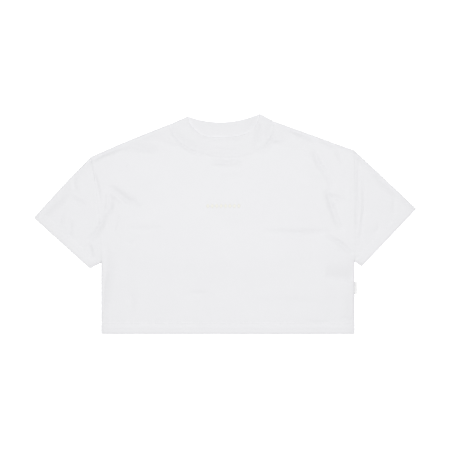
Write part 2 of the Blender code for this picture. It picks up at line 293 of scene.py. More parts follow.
def painted_trough_shade(points, folds):
    """Painted shade for the troughs of a table of folds: how deep in them the cloth lies, from 0 to
    1.
    """
    troughs = [fold for fold in folds if fold[-1] < 0]
    return np.clip(-fold_relief(points, troughs) / FULL_SHADE_DEPTH, 0, 1)


def unevenness(points, size, height, seed):
    """Slow random rise and fall of the cloth, over lengths of about size."""
    flat = points.reshape(-1, points.shape[-1]) / size
    values = [noise.noise((x, y, seed)) for x, y in flat[:, :2]]
    return np.array(values).reshape(points.shape[:-1]) * height


CLOSED_EDGES = [
    (start[side], end[side])
    for side in (LEFT, RIGHT)
    for start, end in (
        (HEM_CORNER, ARMPIT),
        (ARMPIT, CUFF_BOTTOM),
        (CUFF_TOP, SHOULDER_POINT),
    )
]
CLOSED_EDGES += [shoulder(side, np.linspace(0, 1, 9)) for side in (LEFT, RIGHT)]
ARMHOLE_LINE = [armhole(side, np.linspace(0, 1, 25)) for side in (LEFT, RIGHT)]
NECK_FRONT_LINE = neck_seam(NECK_FRONT, np.linspace(0, 1, 61))
NECK_SEAM_LENGTH = 0.30
NECK_STITCH_ROWS = (4.0 * MM, 10.0 * MM)  # twin needle rows outside the neck seam
SEAM_WELT = 0.15 * MM  # that a seam's turnings raise the cloth over them
ARMHOLE_WELT = (9.1 * MM, 2.5 * MM)  # width of the turnings, and of the slope at their end
NECK_WELT = (12.0 * MM, 2.0 * MM)
ARMHOLE_DITCH = (0.08 * MM, 0.8 * MM)  # depth and width of the ditch along a seam
NECK_DITCH = (0.08 * MM, 1.0 * MM)
NECK_SINK = (0.9 * MM, 16.0 * MM)  # that the panel comes down to meet the neckband
STITCH_DITCH = (0.10 * MM, 0.9 * MM)  # that the thread of a row pulls the cloth in by
PUCKER = 0.35 * MM  # height of the small gathers along a seam
PUCKER_LENGTH = 9.0 * MM
PUCKER_REACH = 11.0 * MM
PUCKER_SQUASH = 0.35  # width of a gather along the seam, as a share of its length
SLEEVE_PUCKERS = 0.5  # how much stronger they are on the sleeve


def puckers(away, along, seed):
    """Small uneven gathers beside a seam, by the distance from it and along it."""
    at = np.stack([along, away * PUCKER_SQUASH], axis=-1)
    return unevenness(at, PUCKER_LENGTH, PUCKER, seed) * hill(away, PUCKER_REACH)


def welt(away, size):
    """Rise of the cloth over the turnings of a seam, by the distance from it."""
    width, slope = size
    return SEAM_WELT * soft(width - away, 0, slope)


def seam_relief(points):
    """Ditches, raised turnings and gathers along the armhole and neck seams."""
    added = np.zeros(points.shape[:-1])
    for side, outward in ((LEFT, 1), (RIGHT, -1)):
        away, share = along_line(points, ARMHOLE_LINE[side])
        on_sleeve = away * outward < 0
        away = np.abs(away)
        length = math.dist(ARMPIT[side], SHOULDER_POINT[side])
        added += welt(away, ARMHOLE_WELT) * on_sleeve + ditch(away, ARMHOLE_DITCH)
        gathers = puckers(away, share * length, seed=3.0 + side)
        added += gathers * (1 + SLEEVE_PUCKERS * on_sleeve)
    away, share = along_line(points, NECK_FRONT_LINE)
    away = np.abs(away)
    added += welt(away, NECK_WELT) + ditch(away, NECK_SINK) + ditch(away, NECK_DITCH)
    for row in NECK_STITCH_ROWS:
        added += ditch(away - row, STITCH_DITCH)
    return added + puckers(away, share * NECK_SEAM_LENGTH, seed=7.0)


def from_closed_edges(points):
    """How far points lie in from the sides, underarms, sleeve tops and shoulders."""
    return np.min([np.abs(along_line(points, edge)[0]) for edge in CLOSED_EDGES], axis=0)


def front_height(points, edge, least):
    """Height of the front layer's face, given that at the closed edges and the least."""
    away = from_closed_edges(points)
    bend, tightness = EDGE_BEND
    height = edge + (bend - edge) * (1 - np.exp(-away / tightness))
    height += (FRONT_LEVEL - bend) * np.sin(math.pi / 2 * ramp(away, 0, EDGE_ROLL))
    relief = fold_relief(points, FRONT_FOLDS + NECK_FOLDS) + seam_relief(points)
    for size, rise, seed in SLACKNESS:
        relief += unevenness(points, size, rise, seed)
    return np.maximum(height + relief * soft(away, 0, EDGE_CALM), least)


BESIDE_MARK = np.array((-1.2, -0.5, 0, 0.5, 1.2)) * MM  # rows on and beside a line of stitches
LEAST_STEP = 0.1 * MM
CLEAR_OF_CLOSE = 0.45  # of the even spacing, that even rows keep from the close ones


def stations(length, close_start, close_end, marks=(), fine=FINE):
    """Places along a length: close together at its ends and marks, even between."""
    even = np.arange(close_start[-1] + fine, length - close_end[-1] - fine / 2, fine)
    close = [close_start, length - close_end, *(mark + BESIDE_MARK for mark in marks)]
    close = np.sort(np.concatenate(close))
    close = close[np.concatenate([[True], np.diff(close) > LEAST_STEP])]
    even = even[np.abs(even[:, None] - close).min(axis=1) > fine * CLEAR_OF_CLOSE]
    return np.sort(np.concatenate([close, even]))


ARMPIT_ROW = 0.40  # share of a panel's grid that lies below the armpits
ABOVE_ARMPIT = 0.230  # height above them, by which the rows there are spaced
NECK_FROM, NECK_TO = 0.25, 0.71  # shares of its width between which the neck is cut


def panel_grid(marks, fine=FINE):
    """Columns and rows of a body panel, as shares of its width and height."""
    width = HEM_CORNER[RIGHT][0] - HEM_CORNER[LEFT][0]
    below = ARMPIT[LEFT][1] - HEM_CORNER[LEFT][1]
    columns = stations(width, CLOSE_IN, CLOSE_IN, fine=fine) / width
    low = stations(below, CLOSE_IN[:6], PLAIN_END, marks, fine) / below * ARMPIT_ROW
    high = stations(ABOVE_ARMPIT, PLAIN_END, CLOSE_IN, fine=fine) / ABOVE_ARMPIT
    rows = np.concatenate([low, ARMPIT_ROW + high[1:] * (1 - ARMPIT_ROW)])
    return np.union1d(columns, (NECK_FROM, NECK_TO)), rows


def panel_plan(seam, u, v):
    """A body panel seen from above, at shares u of its width and v of its height."""
    above_armpit = ramp(v, ARMPIT_ROW, 1)
    sides = []
    for side, inward in ((LEFT, SEAM_GAP / 2), (RIGHT, -SEAM_GAP / 2)):
        edge = between(HEM_CORNER[side], ARMPIT[side], ramp(v, 0, ARMPIT_ROW))
        edge[v > ARMPIT_ROW] = armhole(side, above_armpit)[v > ARMPIT_ROW]
        edge[v >= ARMPIT_ROW, 0] += inward
        sides.append(edge)
    curve = neck_seam(seam, ramp(u, NECK_FROM, NECK_TO), SEAM_GAP)
    ends = neck_seam(seam, (0, 1), SEAM_GAP)
    left_in, right_out = ramp(u, 0, NECK_FROM), ramp(u, NECK_TO, 1)
    left = between(sides[LEFT][-1], ends[0], left_in)
    left[:, 1] += SHOULDER_BOW[LEFT] * bow(left_in)
    right = between(ends[1], sides[RIGHT][-1], right_out)
    right[:, 1] += SHOULDER_BOW[RIGHT] * bow(right_out)
    top = np.where((u < NECK_FROM)[:, None], left, curve)
    top = np.where((u > NECK_TO)[:, None], right, top)
    straight_top = between(sides[LEFT][-1], sides[RIGHT][-1], u)
    across = u[None, :, None]
    plan = sides[LEFT][:, None] * (1 - across) + sides[RIGHT][:, None] * across
    return plan + (top - straight_top)[None] * above_armpit[:, None, None]


THIN_EDGE = 0.22  # share of the wall that is left at the very end of a rounded edge
WELD = 1e-7  # distance within which the two ends of a loop become one
SHARP_FROM = math.radians(50)


def at_height(plan, height):
    """Points of a plan, lifted to a height."""
    return np.concatenate([plan, np.broadcast_to(height, plan.shape[:-1])[..., None]], axis=-1)


def rounded(outer, inner, away, radius):
    """Faces of a wall whose edge is rounded, by the points' distance in from that edge."""
    middle = (outer + inner) / 2
    keep = np.sqrt(1 - (1 - ramp(away, 0, radius)) ** 2)
    keep = np.maximum(keep, THIN_EDGE)[..., None]
    return middle + (outer - middle) * keep, middle + (inner - middle) * keep


def piece_of(bm, name, finish):
    """The modelled shape as a piece of its own, in its finish."""
    mesh = bpy.data.meshes.new(name)
    bm.to_mesh(mesh)
    bm.free()
    mesh.shade_smooth()
    mesh.materials.append(finish.material)
    piece = bpy.data.objects.new(name, mesh)
    bpy.context.scene.collection.objects.link(piece)
    return piece


def cloth_shell(name, outer, inner, pattern, painted_shade, finish, closed_loop=False):
    """A cloth wall between its outer and inner faces, given as points by row and column.

    pattern holds each point's place on the cut cloth, which becomes the UV map, in metres,
    and painted_shade how deep in a trough it lies, from 0 to 1, which the finish paints as shade.
    """
    row_count, column_count = outer.shape[:2]
    bm = bmesh.new()
    row = bm.verts.layers.int.new("row")
    column = bm.verts.layers.int.new("column")
    # a layer that carries the painted shade of the troughs to the finish
    painted_shade_value = bm.verts.layers.float.new("painted_trough_shade")
    bmesh.ops.create_grid(bm, x_segments=column_count - 1, y_segments=row_count - 1, size=0.5)
    cut = bm.loops.layers.uv.new("cut")
    for vert in bm.verts:
        vert[column] = round((vert.co.x + 0.5) * (column_count - 1))
        vert[row] = round((vert.co.y + 0.5) * (row_count - 1))
        vert.co = outer[vert[row], vert[column]]
        vert[painted_shade_value] = painted_shade[vert[row], vert[column]]
    for face in bm.faces:
        for loop in face.loops:
            loop[cut].uv = pattern[loop.vert[row], loop.vert[column]]
    if closed_loop:
        bmesh.ops.remove_doubles(bm, verts=bm.verts, dist=WELD)
    grown = bmesh.ops.extrude_face_region(bm, geom=bm.faces[:])["geom"]
    for vert in grown:
        if isinstance(vert, bmesh.types.BMVert):
            vert.co = inner[vert[row], vert[column]]
    bmesh.ops.recalc_face_normals(bm, faces=bm.faces)
    piece = piece_of(bm, name, finish)
    piece.data.set_sharp_from_angle(angle=SHARP_FROM)
    return piece


class Finish:
    """A material, built from nodes that end in its surface shader."""

    def __init__(self, name):
        self.material = bpy.data.materials.new(name)
        self.material.use_nodes = True
        self.tree = self.material.node_tree
        self.shader = self.tree.nodes["Principled BSDF"]

    def fill(self, node, inputs):
        """Link or set a node's inputs, each called by its name or by i and its number."""
        for key, value in inputs.items():
            numbered = key[0] == "i" and key[1:].isdigit()
            socket = node.inputs[int(key[1:]) if numbered else key.replace("_", " ")]
            if hasattr(value, "links"):
                self.tree.links.new(value, socket)
            else:
                socket.default_value = value

    def surface(self, **inputs):
        self.fill(self.shader, inputs)

    def add(self, kind, settings=(), output=0, **inputs):
        """A node with its settings and inputs, of which one output comes back."""
        node = self.tree.nodes.new(kind)
        for key, value in dict(settings).items():
            setattr(node, key, value)
        self.fill(node, inputs)
        return node.outputs[output]

    def place(self, kind):
        """Place on the piece (Object) or on its cut cloth (UV), in metres."""
        return self.add("ShaderNodeTexCoord", output=kind)

    def noise(self, place, size, output="Fac"):
        """Random spots, of a size given as the noise's scale and detail."""
        scale, detail = size
        return self.add("ShaderNodeTexNoise", (), output, Vector=place, Scale=scale, Detail=detail)

    def math(self, operation, *values):
        inputs = {f"i{index}": value for index, value in enumerate(values)}
        return self.add("ShaderNodeMath", {"operation": operation}, **inputs)

    def blend(self, share, first, second):
        """Colour from the first to the second."""
        colours = {"i6": (*first, 1), "i7": (*second, 1)}
        return self.add("ShaderNodeMix", {"data_type": "RGBA"}, 2, i0=share, **colours)

    def bump(self, height, depth, strength=1.0):
        height = self.add("ShaderNodeBump", Strength=strength, Distance=depth, Height=height)
        self.surface(Normal=height)

    def roughen(self, pattern, least, more):
        """Roughness of least, with as much as more on top by a pattern."""
        self.surface(Roughness=self.math("MULTIPLY_ADD", pattern, more, least))


WANDER, WANDER_WIDTH = (55.0, 2.0), 0.9 * MM  # that the rows of stitches stray
FUZZ, SLUBS, MOTTLE = (2600.0, 3.0), (260.0, 4.0), (14.0, 3.0)
FUZZ_HEIGHT, SLUB_HEIGHT = 0.35, 0.5  # against the stitches' height
STITCH_SLANT = 2.2  # how far the two halves of a stitch lean together
LOOP_DIP = 0.32  # how far the yarn dips from row to row
COLUMN_ROUNDNESS = 0.6  # the smaller, the flatter on top a column of stitches is
DARKEST_TONE = 0.30  # share of the yarn's colour kept in the painted shade between the stitches
STITCH_TONE, MOTTLE_TONE = 0.55, 0.30  # how much stitches and mottle lighten that
CREASE_SHADE = 0.55  # painted shade: how much a trough darkens the colour
KNIT_SHEEN = {"Sheen_Weight": 0.12, "Sheen_Roughness": 0.5, "Specular_IOR_Level": 0.5}


def knit_finish(name, colour, gap_shadow, wale, course, depth):
    """Plain knit cloth: columns of V stitches, with a fine fuzz and slubs.

    colour is the yarn's, gap_shadow the painted shade between the stitches, wale and course
    the spacing of columns and rows, and depth the height of the stitches.
    """
    knit = Finish(name)
    cut = knit.place("UV")
    stray = knit.add(
        "ShaderNodeVectorMath", {"operation": "SCALE"},
        i0=knit.noise(cut, WANDER, "Color"), Scale=WANDER_WIDTH,
    )
    cut = knit.add("ShaderNodeVectorMath", {"operation": "ADD"}, i0=cut, i1=stray)
    across = knit.add("ShaderNodeSeparateXYZ", output="X", Vector=cut)
    up = knit.add("ShaderNodeSeparateXYZ", output="Y", Vector=cut)
    column = knit.math("MULTIPLY", across, math.pi / wale)
    ridge = knit.math("ABSOLUTE", knit.math("SINE", column))
    slant = knit.math("MULTIPLY", ridge, STITCH_SLANT)
    loop = knit.math("ADD", knit.math("MULTIPLY", up, 2 * math.pi / course), slant)
    loop = knit.math("MULTIPLY_ADD", knit.math("SINE", loop), LOOP_DIP, 1 - LOOP_DIP)
    stitch = knit.math("MULTIPLY", knit.math("POWER", ridge, COLUMN_ROUNDNESS), loop)
    slub = knit.noise(cut, SLUBS)
    height = knit.math("MULTIPLY_ADD", knit.noise(cut, FUZZ), FUZZ_HEIGHT, stitch)
    knit.bump(knit.math("MULTIPLY_ADD", slub, SLUB_HEIGHT, height), depth)
    # painted shade between the stitches, lighter on the stitches themselves and with random mottle
    shade = knit.math("MULTIPLY_ADD", stitch, STITCH_TONE, DARKEST_TONE)
    shade = knit.math("MULTIPLY_ADD", knit.noise(cut, MOTTLE), MOTTLE_TONE, shade)
    # painted shade: the colour darkens in troughs and inside the neck
    painted_shade_value = knit.add("ShaderNodeAttribute", {"attribute_name": "painted_trough_shade"}, "Fac")
    shade = knit.math("MULTIPLY_ADD", painted_shade_value, -CREASE_SHADE, shade)
    knit.roughen(slub, least=0.60, more=0.14)
    knit.surface(Base_Color=knit.blend(shade, gap_shadow, colour), **KNIT_SHEEN)
    return knit


WHITE, WHITE_SHADOW = (0.850, 0.8495, 0.8655), (0.780, 0.780, 0.798)
JERSEY_KNIT = (0.95 * MM, 0.70 * MM, 0.10 * MM)  # spacing of columns and rows, and height
jersey = knit_finish("white_jersey_knit", WHITE, WHITE_SHADOW, *JERSEY_KNIT)

THREAD_TWIST = (3000.0, 2.0)
thread = Finish("white_sewing_thread")
twist = thread.noise(thread.place("Object"), THREAD_TWIST)
thread.bump(twist, depth=0.05 * MM, strength=0.6)
thread.roughen(twist, least=0.5, more=0.2)
thread.surface(Base_Color=(0.86, 0.86, 0.87, 1))

THREAD = (0.50 * MM, 0.34 * MM)  # how wide a stitch lies, and how far it stands out
STITCH_LENGTH, STITCH_PITCH = 2.4 * MM, 3.0 * MM
FIRST_STITCH = 1.5 * MM  # from each end of a row
WELL_CLEAR = 20 * MM  # of the cloth, where rays towards it start
LEVEL_ENOUGH = 0.8  # how far the cloth must face out to take a stitch


def surface_of(piece):
    """A piece's faces, for rays that look for them."""
    faces = [polygon.vertices for polygon in piece.data.polygons]
    return BVHTree.FromPolygons([vert.co for vert in piece.data.vertices], faces)


def stitch_rows(name, lines, cloth, above=True):
    """Rows of stitches along lines, lying on a piece of cloth or under it."""
    surface = surface_of(cloth)
    out = Vector((0, 0, 1 if above else -1))
    bm = bmesh.new()
    bmesh.ops.create_uvsphere(bm, u_segments=6, v_segments=4, radius=0.5)
    stitch = bpy.data.meshes.new("stitch")
    bm.to_mesh(stitch)
    bm.clear()
    for line in lines:
        line = np.array(line)
        steps = np.linalg.norm(np.diff(line, axis=0), axis=1)
        done = np.concatenate([[0], np.cumsum(steps)])
        middles = np.arange(FIRST_STITCH, done[-1] - FIRST_STITCH, STITCH_PITCH)
        start, stop = (
            np.stack([np.interp(middles + shift, done, line[:, i]) for i in (0, 1)], axis=-1)
            for shift in (-STITCH_LENGTH / 2, STITCH_LENGTH / 2)
        )
        for a, b in zip(start, stop):
            middle = Vector((*(a + b) / 2, 0))
            hit, normal, _, _ = surface.ray_cast(middle + out * WELL_CLEAR, -out)
            if hit is None or normal.dot(out) < LEVEL_ENOUGH:
                continue
            along = Vector((*(b - a), 0)).normalized()
            across = normal.cross(along).normalized()
            turn = Matrix((across, normal, along)).transposed().to_4x4()
            hit.z = max(hit.z, THREAD[1] / 2)  # clear of the surface that the shirt lies on
            place = Matrix.Translation(hit) @ turn @ Matrix.Diagonal((*THREAD, STITCH_LENGTH, 1))
            stitch.transform(place)
            bm.from_mesh(stitch)
            stitch.transform(place.inverted())
    rows = piece_of(bm, name, thread)
    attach(rows, "root")


HEM_STITCH_ROWS = (21.4 * MM, 24.6 * MM)  # twin needle rows above the hem's edge
HEM_ENDS = (23.5 * MM, 25.5 * MM)  # between which the turned-up cloth ends
HEM_PUFF = (0.25 * MM, 5.0 * MM)  # that the band puffs up, and how far in that is full
HEM_STAND = (0.6 * MM, 11.0 * MM, 23.0 * MM)  # that it stands higher, and where that fades
HEM_TROUGH = 9.0 * MM  # where the turned-up cloth inside sinks a little
HEM_SINK = (0.30 * MM, 2.4 * MM)
HEM_DROP = (0.6 * MM, 7.0 * MM)  # that it comes down towards its edge, and over what width
HEM_DITCH = (0.15 * MM, 0.8 * MM)  # that the thread pulls the cloth in by
HEM_INSET = 1.5 * MM  # of the stitch rows' ends from the sides
HEM_RADIUS, SIDE_RADIUS = 1.0 * MM, 0.5 * MM  # of the turned-up edge and of the closed ones
HEM_FADE_IN = (0.5 * MM, 4.0 * MM)  # from the side, where the hem's relief starts and is full


def hem_lines():
    """The hem's stitch rows from side to side."""
    (left, low), (right, _) = HEM_CORNER
    left, right = left + HEM_INSET, right - HEM_INSET
    return [((left, low + row), (right, low + row)) for row in HEM_STITCH_ROWS]


def beside(line, distance):
    """The line at a distance to the right of the way that a line runs."""
    line = np.array(line)
    ahead = np.gradient(line, axis=0)
    ahead /= np.linalg.norm(ahead, axis=1)[:, None]
    return line + distance * np.stack([ahead[:, 1], -ahead[:, 0]], axis=-1)


def hem_wall(from_edge, ends):
    """Thickness of the cloth, which is doubled up to where the turned-up hem ends."""
    return CLOTH * (2 - soft(from_edge, *ends))


def hem_relief(from_edge, along, rows, seed):
    """Puffed band, stitched ditches and small gathers of a turned-up hem."""
    puff, full = HEM_PUFF
    stand, fades, gone = HEM_STAND
    drop, width = HEM_DROP
    added = puff * soft(from_edge, 0, full) * (1 - soft(from_edge, rows[1], rows[1] + MM))
    added += stand * (1 - soft(from_edge, fades, gone))
    added += ditch(from_edge - HEM_TROUGH, HEM_SINK)
    added -= drop * (1 - soft(from_edge, 0, width))
    for row in rows:
        added += ditch(from_edge - row, HEM_DITCH)
    return added + puckers(np.abs(from_edge - rows[1]), along, seed)


def panel_shell(name, plan, right_side, inside, folds):
    """A body panel, given the heights of its right side and its inside."""
    faces = at_height(plan, right_side), at_height(plan, inside)
    faces = rounded(*faces, plan[..., 1] - HEM_CORNER[LEFT][1], HEM_RADIUS)
    faces = rounded(*faces, from_closed_edges(plan), SIDE_RADIUS)
    return cloth_shell(name, *faces, plan, painted_trough_shade(plan, folds), jersey)


plan = panel_plan(NECK_FRONT, *panel_grid(marks=(HEM_TROUGH, *HEM_STITCH_ROWS)))
from_hem = plan[..., 1] - HEM_CORNER[LEFT][1]
wall = hem_wall(from_hem, HEM_ENDS)
top = front_height(plan, 2 * wall + LAYER_GAP, 2 * wall + LAYER_GAP)
relief = hem_relief(from_hem, plan[..., 0], HEM_STITCH_ROWS, seed=11.0)
top += relief * soft(from_closed_edges(plan), *HEM_FADE_IN)

front = panel_shell("front_panel_cloth", plan, top, top - wall, FRONT_FOLDS + NECK_FOLDS)
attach(front, "root")
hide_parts("front_panel")

stitch_rows("front_hem_stitching", hem_lines(), front)
neck_rows = [beside(NECK_FRONT_LINE, row) for row in NECK_STITCH_ROWS]
stitch_rows("front_neck_stitching", neck_rows, front)

# ------------------------------------------------------------------------- chest print
# A plain row of small lozenges, screen printed in thin cream ink on the middle of the chest.
# The ink lies on the knit and follows its surface.

PRINT_FROM, PRINT_TO, PRINT_LEVEL = -37.0 * MM, 29.0 * MM, 38.0 * MM  # in x, in x and in y
LOZENGES, LOZENGE_SIZE = 8, (8.4 * MM, 9.6 * MM)
UNIT_LOZENGE = math.sqrt(0.125)  # half the side of a square that is 1 from corner to corner
INK = 0.05 * MM
CREAM, WORN_CREAM = (0.83, 0.82, 0.76), (0.77, 0.76, 0.69)
KNIT_UNDER_INK, INK_WEAR = (1400.0, 3.0), (260.0, 4.0)

ink = Finish("cream_print_ink")
place = ink.place("Object")
wear = ink.noise(place, INK_WEAR)
ink.bump(ink.noise(place, KNIT_UNDER_INK), depth=0.06 * MM, strength=0.8)
ink.roughen(wear, least=0.4, more=0.25)
ink.surface(Base_Color=ink.blend(wear, WORN_CREAM, CREAM))

chest = surface_of(front)
bm = bmesh.new()
turn = Matrix.Rotation(math.radians(45), 4, "Z")
for x in np.linspace(PRINT_FROM, PRINT_TO, LOZENGES):
    place = Matrix.Translation((x, PRINT_LEVEL, 0)) @ Matrix.Diagonal((*LOZENGE_SIZE, 1, 1)) @ turn
    bmesh.ops.create_grid(bm, x_segments=8, y_segments=8, size=UNIT_LOZENGE, matrix=place)
for vert in bm.verts:
    over = vert.co + Vector((0, 0, WELL_CLEAR))
    vert.co.z = chest.ray_cast(over, Vector((0, 0, -1)))[0].z + INK
grown = bmesh.ops.extrude_face_region(bm, geom=bm.faces[:])["geom"]
for part in grown:
    if isinstance(part, bmesh.types.BMVert):
        part.co.z -= INK
bmesh.ops.recalc_face_normals(bm, faces=bm.faces)
chest_print = piece_of(bm, "chest_print", ink)
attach(chest_print, "root")

# ------------------------------------------------------------------------- back panel
# The same cut as the front, but with a shallow neck. It lies face down, so its right side
# is the flat underside, and its creases stand off the surface as low hollows.

NECK_BACK = (0.0425, 0.0)
NECK_BACK_LINE = neck_seam(NECK_BACK, np.linspace(0, 1, 41))
BACK_FINE = 4.2 * MM
BACK_SLACKNESS = (60 * MM, 0.35 * MM, 21.0)  # size, height and seed
BACK_CALM = (1.0 * MM, 18.0 * MM)  # from a closed edge, where its folds start and are full
HEM_STEADIES = 0.6  # how much of them the doubled hem takes away
# Depth and width of the ditches along its seams, neck rows, and hem and cuff rows.
BACK_SEAM_DITCH = (0.30 * MM, 0.9 * MM)
BACK_NECK_DITCH = (0.25 * MM, 0.9 * MM)
BACK_HEM_DITCH = (0.25 * MM, 0.8 * MM)

BACK_FOLDS = (
    # line                                                       before after height
    (((-214, 150), (-196, 112), (-206, 60), (-232, 20)), 8, 12, 0.55),
    (((-160, 168), (-176, 120), (-180, 70)), 9, 9, 0.35),
    (((-240, 4), (-214, -30), (-180, -58)), 8, 10, 0.5),
    (((-250, -96), (-218, -88), (-176, -92)), 7, 9, 0.5),
    (((-252, -150), (-226, -142), (-190, -150)), 9, 9, 0.35),
    (((206, 150), (188, 118), (196, 66), (226, 26)), 10, 7, 0.55),
    (((244, 84), (232, 40), (214, 10)), 8, 8, 0.45),
    (((262, -34), (226, -52), (186, -60)), 7, 10, 0.5),
    (((262, -112), (220, -104), (168, -112)), 8, 8, 0.4),
    (((-150, 40), (-70, 30), (20, 38), (90, 30)), 10, 14, 0.3),
    (((-110, -84), (-20, -92), (80, -80)), 14, 12, 0.25),
    (((-60, 150), (-10, 132), (50, 146)), 9, 12, 0.3),
    (((130, 176), (150, 150), (150, 120)), 7, 8, 0.35),
    (((-372, 22), (-344, 8), (-318, -30)), 9, 12, 0.45),
    (((-336, 76), (-312, 40), (-300, -10)), 8, 10, 0.4),
    (((376, 32), (346, 18), (322, -26)), 12, 9, 0.45),
    (((330, 84), (314, 50), (304, 0)), 9, 8, 0.4),
)


def back_lift(points):
    """Height of the underside off the surface that the shirt lies on."""
    lift = fold_relief(points, BACK_FOLDS)
    lift += np.maximum(unevenness(points, *BACK_SLACKNESS), 0)
    for seam in ARMHOLE_LINE:
        lift -= ditch(np.abs(along_line(points, seam)[0]), BACK_SEAM_DITCH)
    away = np.abs(along_line(points, NECK_BACK_LINE)[0])
    for row in (0, *NECK_STITCH_ROWS):
        lift -= ditch(away - row, BACK_NECK_DITCH)
    return lift


plan = panel_plan(NECK_BACK, *panel_grid(marks=HEM_STITCH_ROWS, fine=BACK_FINE))
from_hem = plan[..., 1] - HEM_CORNER[LEFT][1]
side_in = from_closed_edges(plan)
wall = hem_wall(from_hem, HEM_ENDS)
lift = back_lift(plan) * soft(side_in, *BACK_CALM) * (1 - HEM_STEADIES * (wall / CLOTH - 1))
for row in HEM_STITCH_ROWS:
    lift -= ditch(from_hem - row, BACK_HEM_DITCH) * soft(side_in, *HEM_FADE_IN)

back = panel_shell("back_panel_cloth", plan, lift, lift + wall, BACK_FOLDS)
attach(back, "root")
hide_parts("back_panel")

stitch_rows("back_hem_stitching", hem_lines(), back, above=False)
neck_rows = [beside(NECK_BACK_LINE, row) for row in NECK_STITCH_ROWS]
stitch_rows("back_neck_stitching", neck_rows, back, above=False)

# ---------------------------------------------------------------------------- sleeves
# Each sleeve is one piece of the same jersey, folded along its top and sewn to itself
# along the short underarm, then set into the straight dropped armhole. Its cuff is
# turned up inside and stitched like the hem.

SLEEVE_FOLD = 0.2 * MM  # inner radius of the folded top edge
SLEEVE_BULGE = (1.6 * MM, 0.5 * MM)  # that the top edge bows outwards
BULGE_FULLNESS = 0.8
FLATTENS_FROM = 0.84  # share of the way in from which the folds flatten towards the seam
BOWS_FROM = 0.5  # share of the way in from which it takes on the armhole's bow
SLEEVE_GAP = 0.2 * MM  # least that is left between its layers
CUFF_ROWS = (18.2 * MM, 21.4 * MM)
CUFF_HEM_ENDS = (21.4 * MM, 22.9 * MM)
CUFF_GRID = 23.4 * MM  # from the cuff, where the grid's rows for the hem end
UNDERARM_GRID = 0.92  # most of the short underarm that these rows take
CUFF_FADE_IN = (1.0 * MM, 6.0 * MM)  # from a fold, where the hem's relief starts and is full
SLEEVE_CALM = 10.0 * MM  # from a fold, where the back's folds are full
CUFF_INSET = 3.0 * MM  # of the stitch rows' ends from the folds
SLEEVE_BACK_COLUMNS = 34
NOSE_ANGLES = np.radians(np.linspace(-75, 75, 7))


def round_fold(edge, inward, radii, angles):
    """(outer, inner) points round a folded edge that lies on z = 0."""
    outermost = radii[0]
    for angle in angles:
        yield [
            (*(edge + inward * (outermost - radius * math.cos(angle))),
             outermost + radius * math.sin(angle))
            for radius in radii
        ]


def flattened_loop(front, back, folds, radii):
    """One turn round a flattened loop, as its outer and its inner points.

    front and back are (outer, inner) rows from the first fold to the second, and folds
    the two (edge, inward) pairs.
    """
    (first, first_in), (second, second_in) = folds
    points = [
        *zip(*front),
        *round_fold(second, second_in, radii, NOSE_ANGLES[::-1]),
        *list(zip(*back))[::-1],
        *round_fold(first, first_in, radii, NOSE_ANGLES),
    ]
    return np.array([*points, points[0]]).swapaxes(0, 1)


